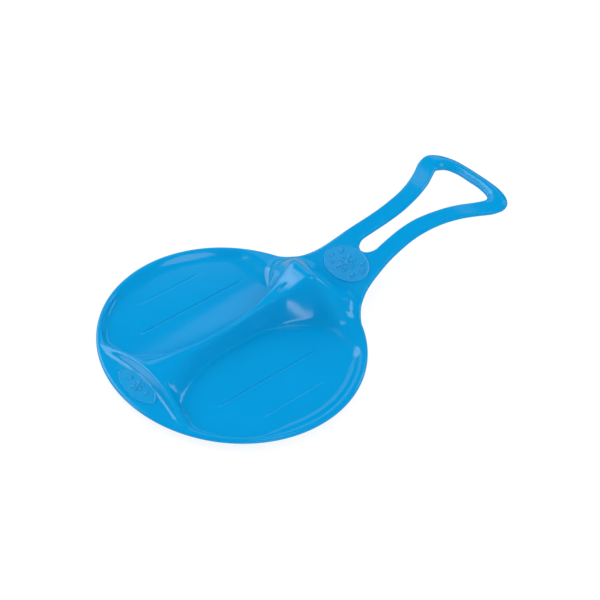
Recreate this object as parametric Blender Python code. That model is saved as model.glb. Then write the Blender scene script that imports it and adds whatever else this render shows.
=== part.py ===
"""Child's paddle sled: a shallow moulded seat with two hollows, a centre ridge and a pommel,
four hollow keels under it, and a loop handle that runs forward from a sloping neck.

Built lying on its keels, +Z up, +Y the way it slides, the origin under the middle of its box.
The real sled is one injection moulding of even wall. It is modelled as the seat shell, the handle
loop and the two raised ovals, which meet with a hair gap.
"""
import math

import bpy
import numpy as np

for old in list(bpy.data.objects):
    bpy.data.objects.remove(old, do_unlink=True)

# overall sizes, metres
SEAT_WIDTH = 0.360
SEAT_LENGTH = 0.314
TOTAL_LENGTH = 0.5745
RIM_HEIGHT = 0.0150         # rim over the ground, sled resting on its keels
WALL = 0.0026
SHUT_GAP = 0.0003           # between meshes that touch

# rolled edge round the whole sled
LIP_RADIUS = 0.0030
LIP_DEPTH = 0.0038

HALF_W = SEAT_WIDTH / 2
HALF_L = SEAT_LENGTH / 2
FILLET_Y = SEAT_LENGTH * 0.943      # the neck leaves the seat's ellipse here
SPLIT_Y = SEAT_LENGTH * 0.981       # seat shell and handle loop meet here


def along(y):
    """A station measured on the photo, moved with the seat's and the sled's length."""
    if y < 0.2961:
        return y * SEAT_LENGTH / 0.314
    return FILLET_Y + (y - 0.2961) * (TOTAL_LENGTH - FILLET_Y) / (0.5745 - 0.2961)


def across(x):
    """A half width measured on the photo, moved with the sled's width."""
    return x * SEAT_WIDTH / 0.360


def lengthwise(stations):
    return [(along(y), value) for y, value in stations]


def plan(stations):
    return [(along(y), across(x)) for y, x in stations]


# raised ovals: half length across the sled and half width along it
FRONT_OVAL = (0.0370, 0.0225)
FRONT_OVAL_Y = along(0.3425)
REAR_OVAL = (0.0350, 0.0140)
REAR_OVAL_Y = along(0.0210)
OVAL_RISE = 0.0012
OVAL_BAND = 0.0022          # width of the oval's raised border
OVAL_BAND_RISE = 0.0006

# the neck is a flat slope under the front oval and for these margins behind it and before it
NECK_MARGINS = (0.0020, 0.0050)
NECK_PLANE = (FRONT_OVAL_Y - FRONT_OVAL[1] - NECK_MARGINS[0], FRONT_OVAL_Y + FRONT_OVAL[1] + NECK_MARGINS[1])
TAIL_Y = NECK_PLANE[0] - 0.0008     # the pommel has run out into the neck here

# seat relief, heights over the rim
FLOOR_DROP = 0.0062         # floor of each hollow under the rim
FLANGE = 0.0015             # flat of the rim before the wall of a hollow starts
HOLLOW_FRONT_Y = along(0.275)
WALL_RUN = (0.0065, 0.0120, 0.0170)     # width of that wall at the side, at the rear and in front
CREST_RISE = 0.0130         # crest of the rear skirt on the centre line
CREST_Y = along(0.041)
CREST_END_Y = along(0.027)  # where it runs out into the rim
CREST_HALF = across(0.092)
CREST_BAND = 0.010          # width of its flat top beside the middle

# ridge and pommel: height, half width of the rounded top and half width at the foot
RIDGE_TOP = lengthwise([(0.041, CREST_RISE), (0.087, 0.0150), (0.130, 0.0148), (0.175, 0.0190),
                        (0.213, 0.0262), (0.240, 0.0340), (0.256, 0.0440), (0.268, 0.0468),
                        (0.284, 0.0410), (0.303, 0.0215)]) + [(TAIL_Y, 0.0052)]
RIDGE_CORE = plan([(0.041, 0.0060), (0.090, 0.0030), (0.130, 0.0010), (0.213, 0.0012),
                   (0.250, 0.0050)]) + [(TAIL_Y, across(0.0060))]
RIDGE_FOOT = plan([(0.041, 0.0640), (0.052, 0.0500), (0.072, 0.0355), (0.087, 0.0275),
                   (0.121, 0.0175), (0.159, 0.0155), (0.196, 0.0175), (0.227, 0.0285),
                   (0.251, 0.0490), (0.268, 0.0750), (0.284, 0.0850), (0.300, 0.0760)]) \
    + [(TAIL_Y, across(0.0600))]

# keels: ribs that stand out below each hollow, with a pressed groove over them
KEEL_INNER_X = across(0.080)
KEEL_OUTER_X = across(0.126)
KEEL_INNER_SPAN = (along(0.074), along(0.238))
KEEL_OUTER_SPAN = (along(0.106), along(0.202))
KEEL_FADE = 0.014
KEEL_HALF_FOOT = 0.0030     # half width of the flat sole of each keel
KEEL_HALF_TOP = 0.0046
GROOVE_HALF = 0.0016
GROOVE_DEPTH = 0.0011
KEEL_COLUMN = 0.0030        # the mesh has a column of points this far beside a keel's line
SAME = 0.0001               # places nearer than this are one place

# handle
SLOT_LIP_RADIUS = 0.0030
SLOT_LIP_DEPTH = 0.0038
SLOT_REAR_Y = FRONT_OVAL_Y + FRONT_OVAL[1] + SLOT_LIP_RADIUS
SLOT_REAR_HALF = 0.0135
GRIP_BAR = 0.0170           # width of the grip bar on the centre line
SLOT_FRONT_Y = TOTAL_LENGTH - GRIP_BAR
GRIP_DEPTH = 0.0055         # how far the grip bar curls down on the hand side
GRIP_CROWN = 0.0028         # and how far its top is rounded

# half width of neck and handle at stations along the sled, to the start of the grip's corner
NECK_EDGE = [(FILLET_Y, HALF_W * math.sqrt(1 - (FILLET_Y / HALF_L - 1) ** 2))] + plan(
    [(0.304, 0.0729), (0.316, 0.0606), (0.335, 0.0499), (0.362, 0.0434), (0.400, 0.0384),
     (0.430, 0.0372), (0.464, 0.0413), (0.490, 0.0493), (0.512, 0.0600), (0.530, 0.0712)])
GRIP_CORNER = [(across(x), along(y)) for x, y in (
    (0.0712, 0.530), (0.0754, 0.5445), (0.0715, 0.5570), (0.0600, 0.5668), (0.0420, 0.5725),
    (0.0200, 0.5743), (0.0, 0.5745))]
SLOT_EDGE = [(across(x), along(y)) for x, y in (
    (0.0132, 0.385), (0.0117, 0.402), (0.0106, 0.422), (0.0113, 0.444), (0.0148, 0.465),
    (0.0214, 0.489), (0.0298, 0.5105), (0.0388, 0.527), (0.0447, 0.540), (0.0400, 0.5520),
    (0.0215, 0.5570), (0.0, 0.5575))]
NECK_RISES = (0.0060, 0.0260)
RISE_LINE = lengthwise([(0.2961, 0.0), (0.304, 0.0018)]) + list(zip(NECK_PLANE, NECK_RISES)) + lengthwise(
    [(0.400, 0.0340), (0.442, 0.0413), (0.490, 0.0451), (0.530, 0.0462), (0.5745, 0.0510)])


def curve(stations, t):
    """Smooth value at t through (t, value) stations, by cubics with central slopes."""
    ts = [s[0] for s in stations]
    vs = [s[1] for s in stations]
    t = min(max(t, ts[0]), ts[-1])
    i = 0
    while i < len(ts) - 2 and t > ts[i + 1]:
        i += 1

    def slope(k):
        a, b = max(k - 1, 0), min(k + 1, len(ts) - 1)
        return (vs[b] - vs[a]) / (ts[b] - ts[a])

    h = ts[i + 1] - ts[i]
    u = (t - ts[i]) / h
    return ((2 * u ** 3 - 3 * u ** 2 + 1) * vs[i] + (u ** 3 - 2 * u ** 2 + u) * h * slope(i)
            + (3 * u ** 2 - 2 * u ** 3) * vs[i + 1] + (u ** 3 - u ** 2) * h * slope(i + 1))


def through(points, steps):
    """Points of a smooth plan curve through control points, `steps` per span."""
    xs = [(k, p[0]) for k, p in enumerate(points)]
    ys = [(k, p[1]) for k, p in enumerate(points)]
    count = (len(points) - 1) * steps
    return [(curve(xs, k / steps), curve(ys, k / steps)) for k in range(count + 1)]


def ease(t):
    t = min(max(t, 0.0), 1.0)
    return t * t * (3 - 2 * t)


def ramp(u, low, high):
    """From 0 to 1, straight in the middle and rounded over the shares low and high at its ends."""
    u = min(max(u, 0.0), 1.0)
    steep = 1 / (1 - (low + high) / 2)
    if u < low:
        return steep * u * u / (2 * low)
    if u < 1 - high:
        return steep * (u - low / 2)
    return 1 - steep * (1 - u) ** 2 / (2 * high)


def soft_min(a, b, reach):
    return min(a, b) - max(reach - abs(a - b), 0.0) ** 2 / (4 * reach)


def outer_edge():
    """Right half of the plan outline, from the rear end to the tip of the grip."""
    turn = math.acos((HALF_L - FILLET_Y) / HALF_L)
    pts = [(HALF_W * math.sin(turn * k / 70), HALF_L - HALF_L * math.cos(turn * k / 70))
           for k in range(71)]
    span = NECK_EDGE[-1][0] - FILLET_Y
    pts += [(curve(NECK_EDGE, FILLET_Y + span * k / 60), FILLET_Y + span * k / 60)
            for k in range(1, 61)]
    pts += through(GRIP_CORNER, 8)[1:]
    return np.array(pts)


def slot_edge():
    """Right half of the slot, from its rear end to the middle of the grip bar."""
    turn = [math.radians(90 * k / 9) for k in range(9)]
    first = SLOT_EDGE[0][1] - SLOT_REAR_Y
    pts = [(SLOT_REAR_HALF * math.sin(a), SLOT_REAR_Y + first * 0.9 * (1 - math.cos(a))) for a in turn]
    return np.array(pts + through(SLOT_EDGE, 6))


def shift_in(line, amount):
    """The line moved sideways in plan, to its left when amount is positive."""
    step = np.gradient(line, axis=0)
    step /= np.linalg.norm(step, axis=1)[:, None]
    out = line + np.stack([-step[:, 1], step[:, 0]], 1) * amount
    out[0, 0] = line[0, 0]
    out[-1, 0] = line[-1, 0]
    return out


def at_length(line, fractions):
    """Points along a polyline at fractions of its length."""
    run = np.concatenate([[0], np.cumsum(np.linalg.norm(np.diff(line, axis=0), axis=1))])
    want = np.array(fractions) * run[-1]
    return np.stack([np.interp(want, run, line[:, 0]), np.interp(want, run, line[:, 1])], 1)


OUTLINE = outer_edge()
EDGE = shift_in(OUTLINE, LIP_RADIUS)
SEAT_EDGE = EDGE[OUTLINE[:, 1] <= SPLIT_Y + 0.004]


def edge_half(y):
    """Half width of the seat's top face, inside its rolled edge."""
    return float(np.interp(y, SEAT_EDGE[:, 1], SEAT_EDGE[:, 0]))


def crest_line(x):
    """Place along the sled and height of the crest over the rear skirt."""
    s = min(1.0, abs(x) / CREST_HALF)
    return CREST_END_Y + (CREST_Y - CREST_END_Y) * (1 - s * s) ** 1.2, CREST_RISE * (1 - s * s) ** 1.25


def rear_edge(x):
    """Where the seat's top face ends at the rear, beside the middle by x."""
    rear = SEAT_EDGE[SEAT_EDGE[:, 1] < HALF_L]
    return float(np.interp(abs(x), rear[:, 0], rear[:, 1]))


def edge_room(x, y):
    """Distance from the seat's rolled edge, near enough for its relief."""
    d = math.hypot(x / (HALF_W - LIP_RADIUS), (y - HALF_L) / (HALF_L - LIP_RADIUS))
    return (1 - d) * (HALF_L - LIP_RADIUS)


def ground(x, y, crest_at, crest_up):
    """A hollow's floor, and round it the rim, the crest and the flat beside the neck."""
    ahead = y - crest_at
    inside = soft_min(edge_room(x, y) - FLANGE, ahead, 0.006)
    inside = soft_min(inside, HOLLOW_FRONT_Y - y, 0.012)
    side, rear, front = WALL_RUN
    run = side + (rear - side) * ease((0.060 - y) / 0.030) + (front - side) * ease((y - 0.080) / 0.050)
    top = crest_up * (1 - ease((ahead - 0.004) / 0.014))
    return top - (top + FLOOR_DROP) * ramp(inside / run, 0.30, 0.50)


def ridge_share(x, y):
    """1 on top of the ridge and the pommel, 0 at their foot."""
    top, foot = curve(RIDGE_CORE, y), curve(RIDGE_FOOT, y)
    return 1 - ramp((abs(x) - top) / (foot - top), 0.30 + 0.35 * ease((0.120 - y) / 0.050),
                    0.20 + 0.20 * ease((y - 0.245) / 0.020))


def neck_rise(y):
    if NECK_PLANE[0] <= y <= NECK_PLANE[1]:
        share = (y - NECK_PLANE[0]) / (NECK_PLANE[1] - NECK_PLANE[0])
        return NECK_RISES[0] + (NECK_RISES[1] - NECK_RISES[0]) * share
    return curve(RISE_LINE, y)


def top_height(x, y):
    """Height of the upper face over the rim anywhere on seat, neck and rails."""
    crest_at, crest_up = crest_line(x)
    if y < crest_at:
        rear = rear_edge(x)
        band = min(CREST_BAND * ease(abs(x) / 0.035), (crest_at - rear) * 0.45)
        down = (crest_at - band - y) / max(crest_at - band - rear, 0.0001)
        return crest_up * (1 - ramp(down, 0.35, 0.20))
    z = neck_rise(y)
    if y < FILLET_Y:
        z += ground(x, y, crest_at, crest_up)
    if y < RIDGE_TOP[-1][0]:
        z += max(0.0, curve(RIDGE_TOP, y) - z) * ridge_share(x, y)
    if y < FILLET_Y:
        z += (crest_up - z) * (1 - ease((y - crest_at) / 0.010))
    return z


def keel(x, y):
    """The nearest keel's line, the distance from it and the keel's share of its full height."""
    line, span = ((KEEL_INNER_X, KEEL_INNER_SPAN) if abs(x) < (KEEL_INNER_X + KEEL_OUTER_X) / 2
                  else (KEEL_OUTER_X, KEEL_OUTER_SPAN))
    fade = min(y - span[0], span[1] - y) / KEEL_FADE
    return line, abs(x) - line, ease(fade)


def thicken(name, sheet, faces, colour, flat=(), soles=()):
    """Closed solid of even wall: the sheet is the upper face, its copy the lower one.

    `flat` lists the sheet's points on a planar cut, `soles` those over a keel, each with
    the place across and the share of the keel's height of the point under it.
    """
    pts = np.array(sheet)
    normal = np.zeros_like(pts)
    for f in faces:
        p = pts[list(f)]
        n = np.cross(p[2] - p[0], p[-1] - p[1])
        for i in f:
            normal[i] += n
    normal /= np.linalg.norm(normal, axis=1)[:, None]
    cut = np.array(sorted(flat), dtype=int)
    if len(cut):
        normal[cut, 1] = 0
        normal[cut] /= np.linalg.norm(normal[cut], axis=1)[:, None]
    under = pts - normal * WALL
    edges = {}
    for f in faces:
        for a, b in zip(f, f[1:] + f[:1]):
            edges[(a, b)] = edges.get((a, b), 0) + 1
    skirt = [(b, a, a + len(pts), b + len(pts)) for (a, b) in edges if (b, a) not in edges]
    verts = np.vstack([pts, under])
    for i, x, share in soles:
        verts[i + len(pts)] = (x, pts[i][1], (pts[i][2] - WALL) * (1 - share))
    polys = list(faces) + [tuple(i + len(pts) for i in reversed(f)) for f in faces] + skirt
    return solid(name, verts, polys, colour)


def solid(name, verts, polys, colour):
    mesh = bpy.data.meshes.new(name)
    moved = [(v[0], v[1] - TOTAL_LENGTH / 2, v[2]) for v in verts]
    mesh.from_pydata(moved, [], [list(p) for p in polys])
    mesh.validate()
    ob = bpy.data.objects.new(name, mesh)
    bpy.context.scene.collection.objects.link(ob)
    mat = bpy.data.materials.new(name)
    mat.use_nodes = True
    shader = mat.node_tree.nodes["Principled BSDF"]
    shader.inputs["Base Color"].default_value = colour
    shader.inputs["Roughness"].default_value = 0.25
    mesh.materials.append(mat)
    return ob


def split_quad(sheet, quad):
    """Two triangles, cut along the diagonal that keeps nearer to the true face."""
    a, b, c, d = quad
    x, y, z = np.mean([sheet[i] for i in quad], axis=0)
    true = top_height(x, y) + RIM_HEIGHT
    ac, bd = (sheet[a][2] + sheet[c][2]) / 2, (sheet[b][2] + sheet[d][2]) / 2
    if abs(ac - true) <= abs(bd - true):
        return [(a, b, c), (a, c, d)]
    return [(a, b, d), (b, c, d)]


def lip_profile(radius, depth, steps=3):
    """Rolled edge as (outward, drop) pairs, a quarter round and then a straight skirt."""
    roll = [(radius * math.sin(math.pi / 2 * k / steps), radius * (1 - math.cos(math.pi / 2 * k / steps)))
            for k in range(1, steps + 1)]
    return roll + [(radius, depth)]


def add_lip(sheet, faces, loop, outward, profile):
    """Hang a rolled edge on an edge loop of the sheet. `profile(i)` gives its (outward, drop) pairs."""
    previous = loop
    for ring in range(len(profile(0))):
        current = []
        for i, at in enumerate(loop):
            out, drop = profile(i)[ring]
            x, y, z = sheet[at]
            sheet.append((x + outward[i][0] * out, y + outward[i][1] * out, z - drop))
            current.append(len(sheet) - 1)
        for k in range(len(loop) - 1):
            faces.append((previous[k], current[k], current[k + 1], previous[k + 1]))
        if loop[0] == loop[-1]:
            sheet.pop()
            faces[-1] = (previous[-2], current[-2], current[0], previous[0])
            current[-1] = current[0]
        previous = current
    return previous


def plan_normals(points, closed=False):
    """Unit normals in plan, to the right of the direction of travel along the points."""
    p = np.array([(q[0], q[1]) for q in points])
    if closed:
        step = np.roll(p, -1, axis=0) - np.roll(p, 1, axis=0)
    else:
        step = np.gradient(p, axis=0)
    step /= np.linalg.norm(step, axis=1)[:, None]
    return np.stack([step[:, 1], -step[:, 0]], 1)


def to_outline(sheet, loop):
    """Unit directions in plan from edge points to the nearest point of the outline."""
    out = []
    for i in loop:
        side = math.copysign(1, sheet[i][0])
        p = np.array([abs(sheet[i][0]), sheet[i][1]])
        a, b = OUTLINE[:-1], OUTLINE[1:]
        t = np.clip(((p - a) * (b - a)).sum(1) / ((b - a) ** 2).sum(1), 0, 1)[:, None]
        near = a + (b - a) * t
        k = int(np.argmin(np.linalg.norm(near - p, axis=1)))
        n = (near[k] - p) / np.linalg.norm(near[k] - p)
        out.append((n[0] * side, n[1]))
    return out


def cut_outward(normals, k):
    """At a planar cut the edge moves along x alone, far enough to keep its true width."""
    x, y = normals[k]
    return (1 / x if abs(x) > 0.2 else math.copysign(5, x), 0.0)


BLUE = (0.0, 0.31, 0.68, 1)
PALE = (0.004, 0.35, 0.70, 1)


def seat_columns():
    """Places across of the grid's columns, from the middle: ridge shares first, then metres."""
    ridge = [0.0, 0.15, 0.35, 0.55, 0.74, 0.89, 1.03]
    lines = [0.030, 0.045, 0.060]
    for line in (KEEL_INNER_X, KEEL_OUTER_X):
        beside = (GROOVE_HALF, KEEL_COLUMN, 0.0068)
        lines += [line - d for d in reversed(beside)] + [line] + [line + d for d in beside]
        lines += [0.103] if line == KEEL_INNER_X else []
    return ridge, lines


def seat_rows():
    """(end, middle) places along the sled: the rear rows bulge back along the crest."""
    ends = [0.0150, 0.0170, 0.0195, 0.0222, 0.0245, 0.0257, 0.0270, 0.0300, 0.0345, 0.0410, 0.0500, 0.0620]
    mids = [0.0, 0.0070, 0.0160, 0.0250, 0.0330, 0.0375, 0.0410, 0.0445, 0.0490, 0.0550, 0.0615, 0.0680]
    rows = [(along(end), along(mid)) for end, mid in zip(ends, mids)]
    straight, first = 33, along(0.0740)
    return rows + [(first + (SPLIT_Y - first) * k / straight,) * 2 for k in range(straight + 1)]


def seat_shell():
    ridge, lines = seat_columns()
    outer_shares = [0.35, 0.62, 0.80, 0.92, 1.0]
    sheet, index, soles = [], [], []
    for k, (end, mid) in enumerate(seat_rows()):
        half = edge_half(end)
        squeeze = min(1.0, half / across(0.151))
        foot = min(curve(RIDGE_FOOT, mid), 0.050)
        start = lines[0]
        free = (lines[3] - 1.1 * foot) / (lines[3] - start) if 1.1 * foot > start - 0.008 else 1.0
        xs = [v * foot for v in ridge]
        xs += [lines[3] - (lines[3] - v) * min(free, 1.0) for v in lines[:3]] + lines[3:]
        xs = [v * squeeze for v in xs]
        xs += [xs[-1] + (half - xs[-1]) * share for share in outer_shares]
        line = []
        for x in [-v for v in reversed(xs[1:])] + xs:
            y = rear_edge(x) if k == 0 else end + (mid - end) * (1 - (x / half) ** 2) ** 1.2
            z = top_height(x, y)
            side, away, share = keel(x, y)
            if share > 0 and abs(away) < KEEL_COLUMN + SAME:
                if abs(away) < SAME:
                    z -= GROOVE_DEPTH * share
                at_side = abs(away) > KEEL_COLUMN - SAME
                wide = KEEL_HALF_TOP if at_side else KEEL_HALF_FOOT if abs(away) > SAME else 0.0
                low = 0.0 if at_side else share
                soles.append((len(sheet), math.copysign(side + math.copysign(wide, away), x), low))
            sheet.append((x, y, z + RIM_HEIGHT))
            line.append(len(sheet) - 1)
        index.append(line)
    faces = []
    for k in range(len(index) - 1):
        for j in range(len(index[k]) - 1):
            faces += split_quad(sheet, (index[k][j], index[k][j + 1], index[k + 1][j + 1], index[k + 1][j]))

    left = [index[k][0] for k in range(len(index) - 1, 0, -1)]
    right = [index[k][-1] for k in range(1, len(index))]
    loop = left + index[0] + right
    outward = to_outline(sheet, loop)
    outward[0] = cut_outward(outward, 0)
    outward[-1] = cut_outward(outward, -1)
    profile = lip_profile(LIP_RADIUS, LIP_DEPTH)
    flat = set(index[-1])
    before = len(sheet)
    add_lip(sheet, faces, loop, outward, lambda i: profile)
    for ring in range(len(profile)):
        flat.add(before + ring * len(loop))
        flat.add(before + ring * len(loop) + len(loop) - 1)
    return thicken("seat_shell", sheet, faces, BLUE, flat, soles)


def handle_loop():
    start = SPLIT_Y + SHUT_GAP
    edge = EDGE[OUTLINE[:, 1] > start + 0.003]
    first = float(np.interp(start, EDGE[:, 1], EDGE[:, 0]))
    side = np.vstack([[first, start], edge])
    slot = shift_in(slot_edge(), -SLOT_LIP_RADIUS)
    slot[-1, 1] = SLOT_FRONT_Y + SLOT_LIP_RADIUS

    def slot_near(y):
        k = int(np.argmin(np.abs(slot[:, 1] - y) + (np.arange(len(slot)) > 62) * 1.0))
        run = np.concatenate([[0], np.cumsum(np.linalg.norm(np.diff(slot, axis=0), axis=1))])
        return run[k] / run[-1]

    side_run = np.concatenate([[0], np.cumsum(np.linalg.norm(np.diff(side, axis=0), axis=1))])

    def side_near(y):
        return float(np.interp(y, side[:80, 1], side_run[:80])) / side_run[-1]

    cut_steps = 5
    # shares of the outer edge and of the slot's edge that the cross lines of the mesh join
    across_rails = [(0.390, 0.390), (0.422, 0.422), (0.464, 0.465), (0.500, 0.500), (0.528, 0.527)]
    pairs = [(0.0, 0.034)]
    pairs += [(side_near(along(v)), share) for v, share in ((0.335, 0.060), (0.353, 0.080), (0.371, 0.100))]
    pairs += [(side_near(along(a)), slot_near(along(b))) for a, b in across_rails]
    pairs += [(0.835, 0.800), (1.0, 1.0)]
    places = [0.3165, 0.325, 0.335, 0.345, 0.3535, 0.362, 0.371, 0.380, 0.390, 0.400, 0.411, 0.422,
              0.432, 0.443, 0.4535, 0.464, 0.474, 0.483, 0.492, 0.500, 0.5075, 0.515, 0.522, 0.528]
    corner = [0.745, 0.764, 0.780, 0.795, 0.810, 0.825, 0.842, 0.860, 0.885, 0.915, 0.957, 1.0]
    stations = sorted([side_near(along(v)) for v in places] + corner)
    outer = [(first * k / cut_steps, start) for k in range(cut_steps)]
    inner_share = [pairs[0][1] * k / cut_steps for k in range(cut_steps)]
    outer += [tuple(p) for p in at_length(side, [0.0] + stations)]
    inner_share += [float(np.interp(v, [p[0] for p in pairs], [p[1] for p in pairs]))
                    for v in [0.0] + stations]
    inner = [tuple(p) for p in at_length(slot, inner_share)]
    inner[0] = (0.0, inner[0][1])

    outer += [(-x, y) for x, y in reversed(outer[1:-1])]
    inner += [(-x, y) for x, y in reversed(inner[1:-1])]
    count = len(outer)
    # the second line across the neck lies where its flat begins
    flat_share = (NECK_PLANE[0] - start) / (SLOT_REAR_Y - SLOT_LIP_RADIUS - start)
    columns = [0.0] + [flat_share + (1 - flat_share) * v for v in (0.0, 0.27, 0.61, 1.0)]
    sheet, rings = [], []
    for v in columns:
        ring = []
        for (xo, yo), (xi, yi) in zip(outer, inner):
            x, y = xo + (xi - xo) * v, yo + (yi - yo) * v
            bar = ease((min(yo, TOTAL_LENGTH) - along(0.548)) / 0.020)
            crown = GRIP_CROWN * bar * (2 * v - 1) ** 2
            sheet.append((x, y, top_height(x, y) + RIM_HEIGHT - crown))
            ring.append(len(sheet) - 1)
        rings.append(ring)
    faces = []
    for c in range(len(columns) - 1):
        for k in range(count):
            m = (k + 1) % count
            faces.append((rings[c][k], rings[c][m], rings[c + 1][m], rings[c + 1][k]))

    side_ids = [rings[0][k] for k in range(cut_steps, count - cut_steps + 1)]
    outward = to_outline(sheet, side_ids)
    outward[0] = cut_outward(outward, 0)
    outward[-1] = cut_outward(outward, -1)
    profile = lip_profile(LIP_RADIUS, LIP_DEPTH)
    flat = set(rings[0][:cut_steps + 1]) | set(rings[0][-cut_steps:])
    before = len(sheet)
    add_lip(sheet, faces, side_ids, outward, lambda i: profile)
    for ring in range(len(profile)):
        flat.add(before + ring * len(side_ids))
        flat.add(before + ring * len(side_ids) + len(side_ids) - 1)

    hole = list(reversed(rings[-1]))
    hole_normals = plan_normals([sheet[i] for i in hole], closed=True)

    def hole_profile(i):
        y = sheet[hole[i % len(hole)]][1]
        bar = ease((y - along(0.540)) / 0.014)
        return lip_profile(SLOT_LIP_RADIUS, SLOT_LIP_DEPTH + (GRIP_DEPTH - SLOT_LIP_DEPTH) * bar)

    closed = hole + hole[:1]
    add_lip(sheet, faces, closed, [tuple(n) for n in hole_normals] + [tuple(hole_normals[0])], hole_profile)
    return thicken("handle_loop", sheet, faces, BLUE, flat)


def raised_oval(name, radii, centre_y, spokes=32):
    """Thin oval plate with a raised border that follows the face it lies on."""
    shares = [0.0, 0.55, 1 - OVAL_BAND / radii[0] * 1.25, 1 - OVAL_BAND / radii[0], 1.0]
    pts = [(0.0, centre_y, OVAL_RISE)]
    for k, r in enumerate(shares[1:], 1):
        for s in range(spokes):
            a = 2 * math.pi * s / spokes
            lift = OVAL_RISE + (OVAL_BAND_RISE if k >= 3 else 0.0)
            pts.append((radii[0] * r * math.cos(a), centre_y + radii[1] * r * math.sin(a), lift))
    top = [(x, y, top_height(x, y) + RIM_HEIGHT + h) for x, y, h in pts]
    low = [(x, y, top_height(x, y) + RIM_HEIGHT + SHUT_GAP) for x, y, h in pts]
    n = len(top)
    faces = [(0, 1 + s, 1 + (s + 1) % spokes) for s in range(spokes)]
    for k in range(len(shares) - 2):
        a0, b0 = 1 + k * spokes, 1 + (k + 1) * spokes
        for s in range(spokes):
            t = (s + 1) % spokes
            faces.append((a0 + s, b0 + s, b0 + t, a0 + t))
    polys = faces + [tuple(i + n for i in reversed(f)) for f in faces]
    rim = 1 + (len(shares) - 2) * spokes
    for s in range(spokes):
        t = (s + 1) % spokes
        polys.append((rim + s, rim + s + n, rim + t + n, rim + t))
    return solid(name, top + low, polys, PALE)


seat_shell()
handle_loop()
raised_oval("front_oval", FRONT_OVAL, FRONT_OVAL_Y)
raised_oval("rear_oval", REAR_OVAL, REAR_OVAL_Y)
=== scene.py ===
import math

import bpy
import numpy as np
from mathutils import Matrix, Vector


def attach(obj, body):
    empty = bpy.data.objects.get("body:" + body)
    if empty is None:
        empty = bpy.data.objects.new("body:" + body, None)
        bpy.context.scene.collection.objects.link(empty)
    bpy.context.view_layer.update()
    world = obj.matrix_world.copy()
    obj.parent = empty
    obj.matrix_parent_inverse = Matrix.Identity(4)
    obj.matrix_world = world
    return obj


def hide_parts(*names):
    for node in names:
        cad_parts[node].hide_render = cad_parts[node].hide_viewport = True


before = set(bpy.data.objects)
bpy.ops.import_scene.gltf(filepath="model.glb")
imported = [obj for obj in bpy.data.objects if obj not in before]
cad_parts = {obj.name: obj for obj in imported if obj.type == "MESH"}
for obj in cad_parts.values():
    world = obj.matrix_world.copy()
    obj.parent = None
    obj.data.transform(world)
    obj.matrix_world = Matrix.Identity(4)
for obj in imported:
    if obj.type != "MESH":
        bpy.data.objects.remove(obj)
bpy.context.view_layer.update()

print("frame loaded:", sorted(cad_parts))

# the moulding's sizes in metres: x across, y forward from the rear end, z over the rim
sled = {
    "width": 0.360, "seatLength": 0.314, "length": 0.5745, "rimHeight": 0.0150, "wall": 0.0026,
    "lipRadius": 0.0030, "lipDrop": 0.0038, "lipSteps": 6,
    "shoulderY": 0.2961,         # the neck leaves the seat's ellipse here
    "neckLine": 0.308,           # the seat's grid and the handle's rings meet here
    "neckMargin": 0.004,         # the seat's edge is kept this far past the neck line
    "weld": 0.00002,             # points of the two grids nearer than this become one
    "leastUp": 0.3,              # the wall under steep faces is measured as if they rose no steeper
}
halfWidth = sled["width"] / 2
halfSeat = sled["seatLength"] / 2
midY = sled["length"] / 2        # the frame's origin lies under this place
rimZ = sled["rimHeight"]
hair = 1e-7                      # places nearer than this are one place


def ease(t):
    t = min(max(t, 0.0), 1.0)
    return t * t * (3 - 2 * t)


def gaining(t, measure):
    # a measure that changes along t: its first value, then each gain as (how much, from where, over what way)
    value = measure[0]
    for gain, start, way in measure[1:]:
        value += gain * ease((t - start) / way)
    return value


def smoothAlong(stations, t):
    # smooth value at t through (t, value) stations
    ts = [s[0] for s in stations]
    vs = [s[1] for s in stations]
    t = min(max(t, ts[0]), ts[-1])
    i = 0
    while i < len(ts) - 2 and t > ts[i + 1]:
        i += 1

    def slope(k):
        a, b = max(k - 1, 0), min(k + 1, len(ts) - 1)
        return (vs[b] - vs[a]) / (ts[b] - ts[a])

    h = ts[i + 1] - ts[i]
    u = (t - ts[i]) / h
    return ((2 * u ** 3 - 3 * u ** 2 + 1) * vs[i] + (u ** 3 - 2 * u ** 2 + u) * h * slope(i)
            + (3 * u ** 2 - 2 * u ** 3) * vs[i + 1] + (u ** 3 - u ** 2) * h * slope(i + 1))


def throughPoints(points, steps):
    xs = [(k, p[0]) for k, p in enumerate(points)]
    ys = [(k, p[1]) for k, p in enumerate(points)]
    count = (len(points) - 1) * steps
    return [(smoothAlong(xs, k / steps), smoothAlong(ys, k / steps)) for k in range(count + 1)]


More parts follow.
